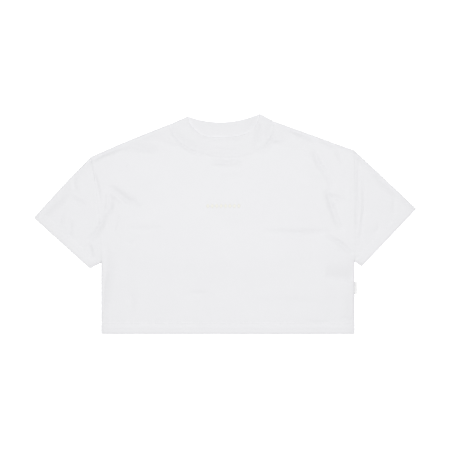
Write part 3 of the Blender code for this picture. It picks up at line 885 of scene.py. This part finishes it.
def build_sleeve(name, side, node):
    """A sleeve, as rings from the cuff in to the armhole."""
    set_in = np.array((-1 if side == LEFT else 1, 0)) * SEAM_GAP / 2
    body_ends = np.array((SHOULDER_POINT[side], ARMPIT[side])) + set_in
    cuff_ends = np.array((CUFF_TOP[side], CUFF_BOTTOM[side]))
    cuff = (cuff_ends[1] - cuff_ends[0]) / math.dist(*cuff_ends)
    inwards = np.array((cuff[1], -cuff[0]))
    inwards *= np.sign((body_ends - cuff_ends)[0] @ inwards)
    reach = (body_ends - cuff_ends) @ inwards
    span = math.dist(*body_ends)

    # Rings, as shares of the way in along the top edge and along the underarm.
    hem = np.minimum(CUFF_GRID / reach, UNDERARM_GRID)
    near = stations(CUFF_GRID, CLOSE_IN[:5], PLAIN_END, CUFF_ROWS) / CUFF_GRID
    far = stations(reach[0] - CUFF_GRID, PLAIN_END, CLOSE_IN) / (reach[0] - CUFF_GRID)
    shares = np.concatenate([np.outer(near, hem), hem + np.outer(far[1:], 1 - hem)])
    noses = 2 * CLOTH + SLEEVE_FOLD - CLOTH * soft(shares.mean(axis=1), FLATTENS_FROM, 1)

    # Its front and back layers, seen from above.
    front_across = stations(span, CLOSE_IN[2:], CLOSE_IN[2:])
    front_across = (front_across - front_across[0]) / np.ptp(front_across)
    back_across = np.linspace(0, 1, SLEEVE_BACK_COLUMNS)
    folds, fronts, backs = [], [], []
    for share, nose in zip(shares, noses):
        start, stop = cuff_ends + (body_ends - cuff_ends) * share[:, None]
        across = (stop - start) / math.dist(start, stop)
        bulge = SLEEVE_BULGE[side] * math.sin(math.pi * share[0]) ** BULGE_FULLNESS
        start = start - across * bulge
        folds.append([(start, across), (stop, -across)])
        for layer, along in ((fronts, front_across), (backs, back_across)):
            flat = between(start + across * nose, stop - across * nose, along)
            flat[:, 0] += ARMHOLE_BOW[side] * bow(along) * soft(share.mean(), BOWS_FROM, 1)
            layer.append(flat)
    fronts, backs = np.array(fronts), np.array(backs)

    # Their thickness and height.
    from_cuff, back_from_cuff = (fronts - cuff_ends[0]) @ inwards, (backs - cuff_ends[0]) @ inwards
    front_wall = hem_wall(from_cuff, CUFF_HEM_ENDS)
    back_wall = hem_wall(back_from_cuff, CUFF_HEM_ENDS)
    least = front_wall + CLOTH + SLEEVE_GAP + CLOTH * (from_cuff < CUFF_GRID)
    to_fold = np.minimum(front_across, 1 - front_across) * span
    relief = hem_relief(from_cuff, fronts @ cuff, CUFF_ROWS, seed=13.0 + side)
    top = front_height(fronts, 2 * noses[:, None], least)
    top = np.maximum(top + relief * soft(to_fold, *CUFF_FADE_IN), least)
    lift = back_lift(backs)
    for row in CUFF_ROWS:
        lift -= ditch(back_from_cuff - row, BACK_HEM_DITCH)
    lift *= soft(np.minimum(back_across, 1 - back_across) * span, 0, SLEEVE_CALM)

    rings, patterns = [], []
    for i, (share, nose) in enumerate(zip(shares, noses)):
        outer, inner = flattened_loop(
            (at_height(fronts[i], top[i]), at_height(fronts[i], top[i] - front_wall[i])),
            (at_height(backs[i], lift[i]), at_height(backs[i], lift[i] + back_wall[i])),
            folds[i],
            (nose, max(nose - front_wall[i].max(), LAYER_GAP)),
        )
        edge_in = np.full(len(outer), share[0] * reach[0])
        rings.append(rounded(outer, inner, edge_in, HEM_RADIUS))
        flat = outer[:, :2] - cuff_ends[0]
        facing = np.where(outer[:, 2] > nose, 1, -1)
        patterns.append(np.stack([flat @ cuff * facing, flat @ inwards], axis=-1))
    outer, inner = np.array(rings).swapaxes(0, 1)
    # painted shade in the troughs of the sleeve's front
    painted_shade = painted_trough_shade(outer[..., :2], FRONT_FOLDS) * (outer[..., 2] > noses[:, None])
    sleeve = cloth_shell(name, outer, inner, np.array(patterns), painted_shade, jersey, True)
    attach(sleeve, "root")
    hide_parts(node)

    rows = []
    for row in CUFF_ROWS:
        start, stop = cuff_ends + (body_ends - cuff_ends) * (row / reach)[:, None]
        inset = CUFF_INSET * (stop - start) / math.dist(start, stop)
        rows.append((start + inset, stop - inset))
    stitch_rows(name.replace("cloth", "front_stitching"), rows, sleeve)
    stitch_rows(name.replace("cloth", "back_stitching"), rows, sleeve, above=False)
    return sleeve


sleeve_left = build_sleeve("left_sleeve_cloth", LEFT, "sleeve_left")
sleeve_right = build_sleeve("right_sleeve_cloth", RIGHT, "sleeve_right")

# ------------------------------------------------------------------------- collar band
# A wide band of cotton rib, folded double with the fold at the free edge, joined into a
# ring and stretched a little into the neck. Laid flat, its front lies over its back.

RIB = 2.0 * MM  # of the two layers of rib together
SEAM_THIN, THINS_FROM = 0.8 * MM, 0.6  # that the seam presses out of it, and from where
COLLAR_FOLD = 0.25 * MM  # between the band's front and back at its side folds
COLLAR_HEIGHT = 41.0 * MM
COLLAR_TIP = ((-0.0800, 0.2298), (0.0736, 0.2356))
COLLAR_FRONT_DROP, COLLAR_BACK_DROP = 0.0483, 0.0155
RIM_FULLNESS = 0.10  # how much fuller than half an ellipse the front's free edge hangs
COLLAR_LEVEL, COLLAR_SEAM_LEVEL = 6.7 * MM, 5.7 * MM  # heights of its front's face
MEETS_PANEL_FROM = 0.45  # share of its height from which it comes to the panel's level
RIM_DROP, RIM_WIDTH = 1.7 * MM, 7.0 * MM  # that its free edge comes down, and over what width
FREE_EDGE, SEWN_EDGE = 0.7 * MM, 0.1 * MM  # radii of its folded and of its sewn edge
RIM_PINCH = 0.35 * MM  # that the folded one is tighter along the front
TIP_EASE = 0.11  # share of the front at each end over which it comes up from the side fold
COLLAR_SLACKNESS = (40 * MM, 0.30 * MM, 41.0)  # size, height and seed
COLLAR_FINE = 2.2 * MM  # spacing of its rows
# Columns of its front and its back: where they start, and how many.
COLLAR_FRONT_COLUMNS, COLLAR_BACK_COLUMNS = (0.0145, 190), (0.0203, 130)
BACK_OF_NECK_SHADE = 0.25  # painted shade: how much darker the band is coloured inside the neck, as in a trough
RIGHT_OF_NECK_SHADE = (0.35, 30 * MM, 60 * MM)  # more painted shade at its right end, and where in x
RIB_WHITE = (0.838, 0.8375, 0.8535)
RIB_KNIT = (2.0 * MM, 0.70 * MM, 0.12 * MM)  # spacing of ribs and rows, and height
COLLAR_FOLDS = (
    # line                                                       before after height
    (((-50, 183), (-20, 181), (4, 182), (36, 181)), 3, 4, -0.4),
    (((-12, 175), (14, 174), (34, 177)), 3, 4, 0.3),
    (((-46, 160), (-10, 159), (34, 158)), 4, 4, -0.8),
    (((-44, 151), (0, 150), (38, 151)), 4, 4, -0.8),
    (((48, 240), (61, 222), (70, 202), (71, 182), (62, 166)), 13, 13, -2.6),
    (((-86, 228), (-76, 214), (-66, 200)), 4, 4, -0.9),
    (((-88, 218), (-80, 206), (-72, 196)), 4, 4, 0.3),
)


def arc(ends, drop, t):
    """Circular arc that hangs by drop below its ends, at t from 0 on the left to 1."""
    half = math.dist(*ends) / 2
    radius = (half**2 + drop**2) / (2 * drop)
    angle = math.asin(half / radius) * (2 * np.asarray(t, float) - 1)
    return below_chord(ends, radius * np.sin(angle), drop - radius * (1 - np.cos(angle)))


def hanging_rim(t):
    """Free edge of the band's front, from the left tip at 0: a little over half an ellipse."""
    half = math.dist(*COLLAR_TIP) / 2
    angle = math.pi * t
    full = 1 + RIM_FULLNESS * np.sin(2 * angle) ** 2
    return below_chord(COLLAR_TIP, -half * np.cos(angle), COLLAR_FRONT_DROP * np.sin(angle) * full)


front_t, back_t = (
    np.linspace(start, 1 - start, count)
    for start, count in (COLLAR_FRONT_COLUMNS, COLLAR_BACK_COLUMNS)
)
band_rows = stations(COLLAR_HEIGHT, CLOSE_IN[:6], CLOSE_IN[:5], fine=COLLAR_FINE) / COLLAR_HEIGHT
off_tips = soft(np.minimum(front_t - front_t[0], front_t[-1] - front_t), 0, TIP_EASE)
panels_laid = 2 * CLOTH + LAYER_GAP
at_seam = front_height(neck_seam(NECK_FRONT, front_t, SEAM_GAP), panels_laid, panels_laid)
rings = []
for row in band_rows:
    wall = RIB - SEAM_THIN * float(soft(row, THINS_FROM, 1))
    nose = wall + COLLAR_FOLD
    front_flat = between(hanging_rim(front_t), neck_seam(NECK_FRONT, front_t), row)
    back_edge = arc(COLLAR_TIP, COLLAR_BACK_DROP, back_t)
    back_flat = between(back_edge, neck_seam(NECK_BACK, back_t), row)
    folds = []
    for side, end in ((LEFT, 0), (RIGHT, -1)):
        edge = between(COLLAR_TIP[side], NECK_POINT[side], row)
        inward = front_flat[end] + back_flat[end] - 2 * edge
        folds.append((edge, inward / np.linalg.norm(inward)))
    level = COLLAR_LEVEL - (COLLAR_LEVEL - COLLAR_SEAM_LEVEL) * row**3
    level -= RIM_DROP * hill(row * COLLAR_HEIGHT, RIM_WIDTH)
    level = level + fold_relief(front_flat, COLLAR_FOLDS + NECK_FOLDS)
    level += unevenness(front_flat, *COLLAR_SLACKNESS)
    level += (at_seam - level) * soft(row, MEETS_PANEL_FROM, 1)
    level = np.maximum(level, 2 * wall + LAYER_GAP)
    top = 2 * nose + (level - 2 * nose) * off_tips
    ring = flattened_loop(
        (at_height(front_flat, top), at_height(front_flat, top - wall)),
        (at_height(back_flat, 0.0), at_height(back_flat, wall)),
        folds,
        (nose, COLLAR_FOLD),
    )
    free_edge = np.full(len(ring[0]), FREE_EDGE)
    free_edge[:len(front_t)] -= RIM_PINCH * off_tips
    for share_in, radius in ((row, free_edge), (1 - row, SEWN_EDGE)):
        ring = rounded(*ring, np.full(len(ring[0]), share_in * COLLAR_HEIGHT), radius)
    rings.append(ring)
outer, inner = np.array(rings).swapaxes(0, 1)
steps = np.linalg.norm(np.diff(outer[len(band_rows) // 2], axis=0), axis=1)
around = np.concatenate([[0], np.cumsum(steps)])
pattern = np.stack(np.meshgrid(around, band_rows * COLLAR_HEIGHT), axis=-1)

# Painted shade: the band's colour darkens inside the neck, more towards its right end, and in its
# troughs.
more, starts, full = RIGHT_OF_NECK_SHADE
neck_shade = BACK_OF_NECK_SHADE + more * soft(outer[..., 0], starts, full)
collar_trough_shade = painted_trough_shade(outer[..., :2], COLLAR_FOLDS + NECK_FOLDS)
painted_shade = np.where(outer[..., 2] > nose, collar_trough_shade, neck_shade)  # nose is the sewn edge's
rib = knit_finish("white_rib_knit", RIB_WHITE, WHITE_SHADOW, *RIB_KNIT)
collar = cloth_shell("collar_band_rib", outer, inner, pattern, painted_shade, rib, True)
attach(collar, "root")
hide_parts("collar_band")

# -------------------------------------------------------------------------- side label
# A short woven tape without any mark, folded in two. Its ends are caught in the right side
# seam, and the fold sticks out.

LABEL_TOP, LABEL_LENGTH = -124.1 * MM, 26.4 * MM
LABEL_OUT, LABEL_IN = 5.0 * MM, 7.0 * MM
LABEL_OFF_BACK = 0.3 * MM
LABEL_FOLD = 0.5 * MM  # outer radius of the fold
LABEL_CURL = (0.12 * MM, 5.0, 0.6)  # height of its wave, and the wave's length and start in angle
LABEL_ROWS, LABEL_COLUMNS = 24, 9
FOLD_ANGLES = np.radians(np.linspace(60, -60, 5))
TAPE = 0.42 * MM
TAPE_WHITE, TAPE_SHADOW = (0.83, 0.83, 0.83), (0.75, 0.75, 0.75)
TAPE_WEAVE = (0.34 * MM, 0.30 * MM, 0.04 * MM)  # spacing of warp and weft, and height

seam_x = HEM_CORNER[RIGHT][0]
middle_z = CLOTH + LABEL_OFF_BACK + LABEL_FOLD
straight = np.linspace(-LABEL_IN, LABEL_OUT - LABEL_FOLD, LABEL_COLUMNS)
curl_height, curl_length, curl_start = LABEL_CURL
outer, inner = [], []
for row in np.linspace(0, 1, LABEL_ROWS):
    y = LABEL_TOP - LABEL_LENGTH * (1 - row)
    curl = curl_height * math.sin(curl_length * row + curl_start)
    lift = curl * ramp(straight, 0, LABEL_OUT)
    for face, half in ((outer, LABEL_FOLD), (inner, LABEL_FOLD - TAPE)):
        x = [*straight, *(straight[-1] + half * np.cos(FOLD_ANGLES)), *straight[::-1]]
        z = [*(lift + half), *(curl + half * np.sin(FOLD_ANGLES)), *(lift - half)[::-1]]
        face.append([(seam_x + a, y, middle_z + b) for a, b in zip(x, z)])
outer, inner = np.array(outer), np.array(inner)
tape = knit_finish("label_tape_weave", TAPE_WHITE, TAPE_SHADOW, *TAPE_WEAVE)
no_painted_shade = np.zeros(outer.shape[:2])
label = cloth_shell("side_label_tape", outer, inner, outer[..., :2], no_painted_shade, tape)
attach(label, "root")
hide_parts("side_label")

# ------------------------------------------------------------------------------ studio
# A wide floor of pale paper that glows a little, one broad soft light overhead and a far
# weaker one from beyond the neck. The camera looks straight down on the middle.

FLOOR_HALF, FLOOR_LEVEL = 14.0, -0.2 * MM
PAPER = {
    "Base_Color": (0.96, 0.96, 0.96, 1),
    "Specular_IOR_Level": 0.1,
    "Emission_Color": (1, 1, 1, 1),
    "Emission_Strength": 0.45,
}
PAPER_GRAIN = (7.0, 3.0)
OVERHEAD, OVERHEAD_SIZE, OVERHEAD_POWER = (0, 0.15, 2.8), 1.2, 68.5
FAR_LIGHT, FAR_SPREAD, FAR_POWER = (-0.5, 2.8, 2.7), math.radians(25), 0.12
ROOM_LIGHT = 0.18
CAMERA_PLACE = (-0.5 * MM, -2.6 * MM, 2.273)
LENS, SENSOR = 85, 36

paper = Finish("pale_floor")
paper.roughen(paper.noise(paper.place("Object"), PAPER_GRAIN), least=0.85, more=0.1)
paper.surface(**PAPER)
bm = bmesh.new()
floor_place = Matrix.Translation((0, 0, FLOOR_LEVEL))
bmesh.ops.create_grid(bm, x_segments=1, y_segments=1, size=FLOOR_HALF, matrix=floor_place)
floor = piece_of(bm, "floor", paper)


def lamp(name, kind, place, power):
    """A lamp that shines from a place towards the middle of the shirt."""
    light = bpy.data.lights.new(name, kind)
    light.energy = power
    stand = bpy.data.objects.new(name, light)
    stand.location = place
    stand.rotation_euler = (-Vector(place)).to_track_quat("-Z", "Y").to_euler()
    bpy.context.scene.collection.objects.link(stand)
    return light


overhead = lamp("overhead_softbox", "AREA", OVERHEAD, OVERHEAD_POWER)
overhead.shape = "SQUARE"
overhead.size = OVERHEAD_SIZE
far_light = lamp("far_upper_left_light", "SUN", FAR_LIGHT, FAR_POWER)
far_light.angle = FAR_SPREAD

world = bpy.data.worlds.new("studio")
world.use_nodes = True
background = world.node_tree.nodes["Background"]
background.inputs["Color"].default_value = (1, 1, 1, 1)
background.inputs["Strength"].default_value = ROOM_LIGHT
bpy.context.scene.world = world
bpy.context.scene.view_settings.view_transform = "Standard"

camera = bpy.data.objects.new("camera", bpy.data.cameras.new("camera"))
camera.data.lens = LENS
camera.data.sensor_width = SENSOR
camera.location = CAMERA_PLACE
bpy.context.scene.collection.objects.link(camera)
bpy.context.scene.camera = camera
